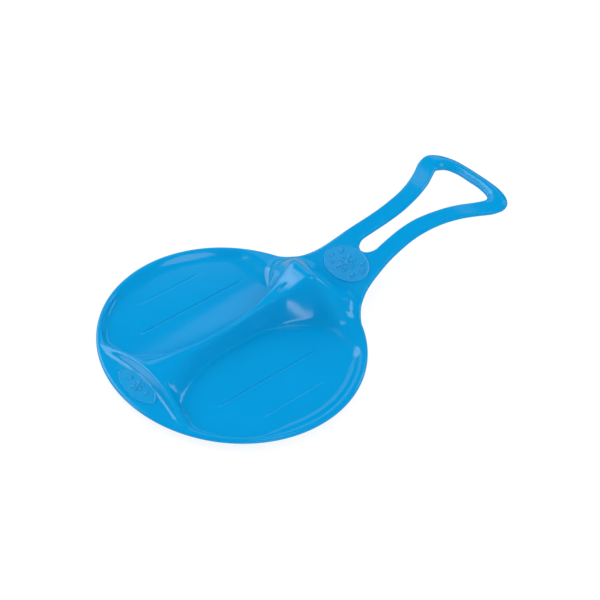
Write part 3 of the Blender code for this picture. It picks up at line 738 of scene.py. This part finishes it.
def buildOval(name, settings):
    # a square grid drawn onto the oval, lifted over the face that it lies on
    columns, rows = settings["columns"], settings["rows"]
    places = []
    for r in range(rows + 1):
        v = 2 * r / rows - 1
        line = []
        for c in range(columns + 1):
            u = 2 * c / columns - 1
            x = settings["halfAcross"] * u * math.sqrt(1 - v * v / 2)
            forward = settings["halfAlong"] * v * math.sqrt(1 - u * u / 2)
            y = settings["centreY"] + forward
            line.append((x, y - midY, topHeight(x, y) + rimZ + ovalLift(settings, x, forward)))
        places.append(line)
    piece = addSheet(name, places)
    if piece.data.polygons[0].normal.z < 0:
        piece.data.flip_normals()

    def under(i, place):
        return Vector((place.x, place.y, topHeight(place.x, place.y + midY) + rimZ - ovalForm["sink"]))

    closeBelow(piece, under)
    print(name + ":", len(piece.data.polygons), "faces")
    return piece


ovals = []
for node, settings in (("front_oval", frontOval), ("rear_oval", rearOval)):
    oval = buildOval(node.split("_")[0] + "Oval", settings)
    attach(oval, "root")
    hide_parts(node)
    ovals.append(oval)


def linear(hexColour):
    parts = [int(hexColour[i:i + 2], 16) / 255 for i in (1, 3, 5)]
    return tuple(c / 12.92 if c <= 0.04045 else ((c + 0.055) / 1.055) ** 2.4 for c in parts) + (1.0,)


def addNode(tree, kind, settings=None, links=None):
    node = tree.nodes.new(kind)
    for key, value in (settings or {}).items():
        if key in node.inputs.keys():
            node.inputs[key].default_value = value
        else:
            setattr(node, key, value)
    for key, source in (links or {}).items():
        tree.links.new(source, node.inputs[key])
    return node


# sizes in metres: clouds of colour, scuffs, the peel of the mould's polish and the sink waves of the wall
polyethylene = {
    "blue": "#0095D2", "deepBlue": "#008ECC", "ior": 1.50, "cloud": 0.060, "scuff": 0.004, "peel": 0.0016,
    "wave": 0.022, "roughSpread": 0.03, "peelDepth": 0.0001, "waveDepth": 0.0005, "waveStrength": 0.06,
    "translucence": 0.10, "lightDepth": 0.002, "lightShares": (0.2, 0.7, 1.0),
}


def mouldedPolyethylene(name, roughness, grain):
    # high density polyethylene, injection moulded: an even blue all through, a little light goes in
    # and comes back, and the skin is glossy with the faint waves and the fine peel of its mould
    material = bpy.data.materials.new(name)
    material.use_nodes = True
    tree = material.node_tree
    shader = tree.nodes["Principled BSDF"]
    place = addNode(tree, "ShaderNodeTexCoord").outputs["Object"]

    def noise(size, detail):
        settings = {"Scale": 1 / polyethylene[size], "Detail": detail}
        return addNode(tree, "ShaderNodeTexNoise", settings, {"Vector": place}).outputs["Fac"]

    # a mix of colours has them at its inputs 6 and 7 and the result at its output 2
    tint = addNode(tree, "ShaderNodeMix", {"data_type": "RGBA"}, {"Factor": noise("cloud", 2.0)})
    tint.inputs[6].default_value = linear(polyethylene["blue"])
    tint.inputs[7].default_value = linear(polyethylene["deepBlue"])
    tree.links.new(tint.outputs[2], shader.inputs["Base Color"])
    spread = polyethylene["roughSpread"]
    rough = addNode(tree, "ShaderNodeMapRange", {"To Min": roughness - spread, "To Max": roughness + spread},
                    {"Value": noise("scuff", 4.0)})
    tree.links.new(rough.outputs["Result"], shader.inputs["Roughness"])
    peelBump = addNode(tree, "ShaderNodeBump", {"Strength": grain, "Distance": polyethylene["peelDepth"]},
                       {"Height": noise("peel", 1.0)})
    waveBump = addNode(tree, "ShaderNodeBump",
                       {"Strength": polyethylene["waveStrength"], "Distance": polyethylene["waveDepth"]},
                       {"Height": noise("wave", 1.0), "Normal": peelBump.outputs["Normal"]})
    tree.links.new(waveBump.outputs["Normal"], shader.inputs["Normal"])
    shader.inputs["IOR"].default_value = polyethylene["ior"]
    shader.inputs["Subsurface Weight"].default_value = polyethylene["translucence"]
    shader.inputs["Subsurface Radius"].default_value = polyethylene["lightShares"]
    shader.inputs["Subsurface Scale"].default_value = polyethylene["lightDepth"]
    return material


def paint(piece, material):
    piece.data.materials.clear()
    piece.data.materials.append(material)


paint(moulding, mouldedPolyethylene("mouldedPolyethylene", roughness=0.10, grain=0.04))
# the ovals' skin is duller and grainier, so they stand off from the glossy seat
satin = mouldedPolyethylene("satinPolyethylene", roughness=0.20, grain=0.12)
for oval in ovals:
    paint(oval, satin)
print("materials made")

studio = {"world": 0.80, "worldGloss": 0.02, "floorGlow": 0.86, "floorGloss": 0.15, "floorGrey": "#6E6E6E",
          "floorRoughness": 0.9, "floorSize": 8, "floorZ": -0.0005}
pureWhite = (1, 1, 1, 1)
bpy.ops.object.select_all(action="DESELECT")
bpy.ops.mesh.primitive_plane_add(size=studio["floorSize"], location=(0, 0, studio["floorZ"]))
floor = bpy.context.active_object
floor.name = "studioFloor"
# a matt floor that glows, so it is white like the photo's ground with only a breath of shade
floorPaint = bpy.data.materials.new("paleFloor")
floorPaint.use_nodes = True
floorShader = floorPaint.node_tree.nodes["Principled BSDF"]
floorShader.inputs["Base Color"].default_value = linear(studio["floorGrey"])
floorShader.inputs["Roughness"].default_value = studio["floorRoughness"]
floorShader.inputs["Emission Color"].default_value = pureWhite
# the gloss sees the floor dimmer, like the room
floorRays = addNode(floorPaint.node_tree, "ShaderNodeLightPath")
floorGlow = addNode(floorPaint.node_tree, "ShaderNodeMapRange",
                    {"To Min": studio["floorGlow"], "To Max": studio["floorGloss"]},
                    {"Value": floorRays.outputs["Is Glossy Ray"]})
floorPaint.node_tree.links.new(floorGlow.outputs["Result"], floorShader.inputs["Emission Strength"])
floor.data.materials.append(floorPaint)

scene = bpy.context.scene
scene.view_settings.view_transform = "Standard"
world = bpy.data.worlds.new("studio")
scene.world = world
world.use_nodes = True
worldTree = world.node_tree
white = worldTree.nodes["Background"]
white.inputs["Color"].default_value = pureWhite
white.inputs["Strength"].default_value = studio["world"]
# a dim room is what the gloss sees, besides the softboxes
dim = addNode(worldTree, "ShaderNodeBackground", {"Strength": studio["worldGloss"]})
rays = addNode(worldTree, "ShaderNodeLightPath")
blend = addNode(worldTree, "ShaderNodeMixShader", None, {"Fac": rays.outputs["Is Glossy Ray"]})
worldTree.links.new(white.outputs[0], blend.inputs[1])
worldTree.links.new(dim.outputs[0], blend.inputs[2])
worldTree.links.new(blend.outputs[0], worldTree.nodes["World Output"].inputs["Surface"])

# softboxes by compass: bearing from straight ahead (+Y) towards +X, height, widths in degrees, brightness
softboxes = {
    "tallLeft": {"bearing": -109, "height": 31, "wide": 36, "high": 38, "glow": 2.2},
    "highLeft": {"bearing": -116, "height": 52, "wide": 16, "high": 12, "glow": 1.6},
    "rearLeft": {"bearing": -149, "height": 10, "wide": 16, "high": 24, "glow": 1.4},
    "paleCove": {"bearing": -58, "height": 28, "wide": 56, "high": 24, "glow": 0.5},
    "overhead": {"bearing": 60, "height": 82, "wide": 22, "high": 16, "glow": 1.6},
    "lowStrip": {"bearing": 120, "height": 11, "wide": 30, "high": 4, "glow": 3.4},
    "aheadWindow": {"bearing": 5, "height": 33, "wide": 20, "high": 18, "glow": 2.0},
    "fillRight": {"bearing": 80, "height": 40, "wide": 60, "high": 50, "glow": 0.9, "hidden": True},
}
softboxDistance = 6.0
for name, box in softboxes.items():
    bearing, height = math.radians(box["bearing"]), math.radians(box["height"])
    place = Vector((math.sin(bearing) * math.cos(height), math.cos(bearing) * math.cos(height),
                    math.sin(height))) * softboxDistance
    wide, high = (2 * softboxDistance * math.tan(math.radians(box[k] / 2)) for k in ("wide", "high"))
    bpy.ops.object.light_add(type="AREA", location=place)
    light = bpy.context.active_object
    light.name = name
    light.data.shape = "RECTANGLE"
    light.data.size, light.data.size_y = wide, high
    light.data.energy = box["glow"] * math.pi * wide * high
    light.rotation_euler = (-place).to_track_quat("-Z", "Y").to_euler()
    light.visible_glossy = not box.get("hidden", False)

# the camera solved on the photo: each row is a world axis in the camera's axes, then the camera's place on it
photoCamera = {
    "lens": 77.46, "sensor": 36, "clip": 0.05,
    "rows": [[0.62785756, -0.51644893, 0.5823018, 0.9482],
             [0.77820849, 0.42966655, -0.4580155, -0.76735],
             [-0.01365399, 0.7407207, 0.67167433, 1.1053],
             [0, 0, 0, 1]],
}
camera = bpy.data.objects.new("photoCamera", bpy.data.cameras.new("photoCamera"))
scene.collection.objects.link(camera)
camera.data.lens = photoCamera["lens"]
camera.data.sensor_width = photoCamera["sensor"]
camera.data.clip_start = photoCamera["clip"]
camera.matrix_world = Matrix(photoCamera["rows"])
scene.camera = camera
print("lights and camera placed")
